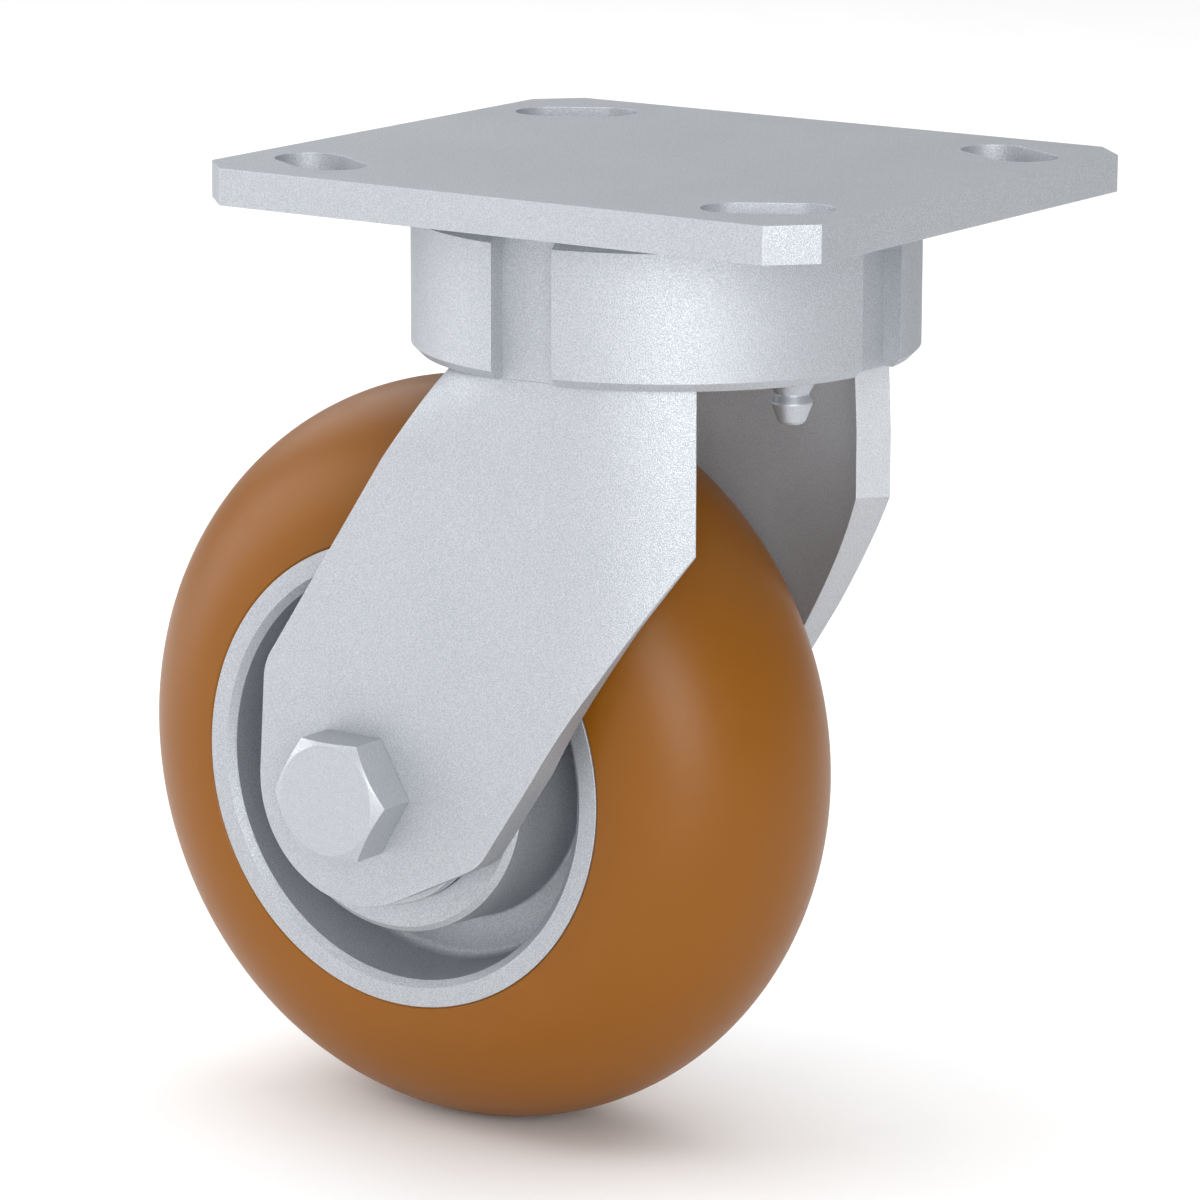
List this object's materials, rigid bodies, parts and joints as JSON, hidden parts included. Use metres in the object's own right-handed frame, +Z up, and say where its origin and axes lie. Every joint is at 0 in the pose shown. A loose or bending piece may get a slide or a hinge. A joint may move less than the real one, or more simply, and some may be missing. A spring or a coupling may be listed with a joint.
{
  "type": "swivel plate caster",
  "caption": "Kingpinless swivel caster: slotted top plate, ball-bearing swivel housing, welded fork legs and a round-crown tyre on a cast hub with sealed ball bearings.",
  "frame": {"origin": "middle of the top plate's upper face, where the swivel axis crosses it", "axes": "+Z up along the swivel axis, +X along the plate's long side and away from the trailing wheel, +Y along the axle towards the nut"},
  "size_m": [0.1546, 0.1082, 0.164],
  "materials": {
    "zinc_steel": "satin zinc plate",
    "zinc_fasteners": "bright zinc plate",
    "cast_hub": "cast, fine speckle",
    "bearing_steel": "polished",
    "pressed_steel": "satin",
    "nylon": "matt",
    "tread": "satin, tan brown"
  },
  "bodies": {
    "plate": {"top_plate": "zinc_steel", "swivel_inner_race": "zinc_steel"},
    "swivel_ball_set": {"swivel_balls": "bearing_steel"},
    "fork": {"swivel_housing": "zinc_steel", "ball_fill_plug": "zinc_steel", "grease_fitting": "zinc_fasteners", "near_leg": "zinc_steel", "far_leg": "zinc_steel", "leg_welds": "zinc_steel", "axle_bolt": "zinc_fasteners", "nut_washer": "zinc_fasteners", "lock_nut": "zinc_fasteners", "nut_insert": "nylon", "spanner_bushing": "zinc_steel", "near_bearing_inner_ring": "bearing_steel", "far_bearing_inner_ring": "bearing_steel", "near_thrust_washer": "zinc_fasteners", "far_thrust_washer": "zinc_fasteners"},
    "wheel": {"hub": "cast_hub", "tyre": "tread", "near_bearing_outer_ring": "bearing_steel", "far_bearing_outer_ring": "bearing_steel", "near_bearing_shields": "pressed_steel", "far_bearing_shields": "pressed_steel"},
    "near_ball_set": {"near_bearing_balls": "bearing_steel", "near_bearing_cage": "pressed_steel"},
    "far_ball_set": {"far_bearing_balls": "bearing_steel", "far_bearing_cage": "pressed_steel"}
  },
  "joints": [
    {"name": "swivel", "type": "hinge", "parent": "plate", "child": "fork", "pos_m": [0, 0, 0], "axis": [0, 0, 1], "continuous": true},
    {"name": "swivel_ball_orbit", "type": "hinge", "parent": "plate", "child": "swivel_ball_set", "pos_m": [0, 0, 0], "axis": [0, 0, 1], "continuous": true},
    {"name": "wheel_spin", "type": "hinge", "parent": "fork", "child": "wheel", "pos_m": [-0.035, 0, -0.1015], "axis": [0, 1, 0], "continuous": true},
    {"name": "near_ball_orbit", "type": "hinge", "parent": "fork", "child": "near_ball_set", "pos_m": [-0.035, 0, -0.1015], "axis": [0, 1, 0], "continuous": true},
    {"name": "far_ball_orbit", "type": "hinge", "parent": "fork", "child": "far_ball_set", "pos_m": [-0.035, 0, -0.1015], "axis": [0, 1, 0], "continuous": true}
  ],
  "couplings": [
    {"joint": "swivel_ball_orbit", "follows": "swivel", "ratio": 0.61759},
    {"joint": "near_ball_orbit", "follows": "wheel_spin", "ratio": 0.61842},
    {"joint": "far_ball_orbit", "follows": "wheel_spin", "ratio": 0.61842}
  ]
}
